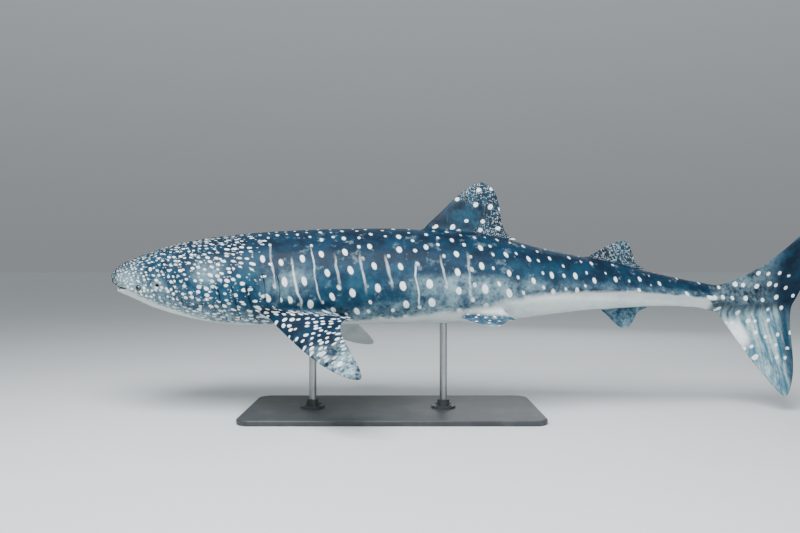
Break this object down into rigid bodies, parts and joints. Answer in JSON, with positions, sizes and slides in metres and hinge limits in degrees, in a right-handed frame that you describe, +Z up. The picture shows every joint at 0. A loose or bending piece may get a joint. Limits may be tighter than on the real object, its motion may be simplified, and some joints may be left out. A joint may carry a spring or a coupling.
{
  "type": "whale shark",
  "caption": "Life-size whale shark in a level cruising pose, mouth closed, pale spots on a dark back, held on a plain flat display stand by short rods.",
  "frame": {"origin": "on the floor, under the middle of the part's bounding box", "axes": "+X from the snout to the tail, +Z up, so the shark's left side faces -Y"},
  "size_m": [6.47, 2.2936, 2.0794],
  "materials": {
    "hide": "smooth wet-looking shark hide, dark blue-grey above with pale spots and bars, off-white below",
    "eye": "glossy dark eye",
    "stand_paint": "satin dark grey paint with light wear",
    "stand_steel": "brushed steel rod"
  },
  "bodies": {
    "root": {"head": "hide", "lower_jaw": "hide", "trunk": "hide", "tail_stalk": "hide", "caudal_fin_upper": "hide", "caudal_fin_lower": "hide", "first_dorsal_fin": "hide", "second_dorsal_fin": "hide", "anal_fin": "hide", "pectoral_fin_left": "hide", "pectoral_fin_right": "hide", "pelvic_fin_left": "hide", "pelvic_fin_right": "hide", "eye_left": "eye", "eye_right": "eye", "stand_base": "stand_paint", "stand_rod_front": "stand_steel", "stand_rod_rear": "stand_steel", "stand_flange_front": "stand_paint", "stand_flange_rear": "stand_paint"}
  },
  "joints": []
}
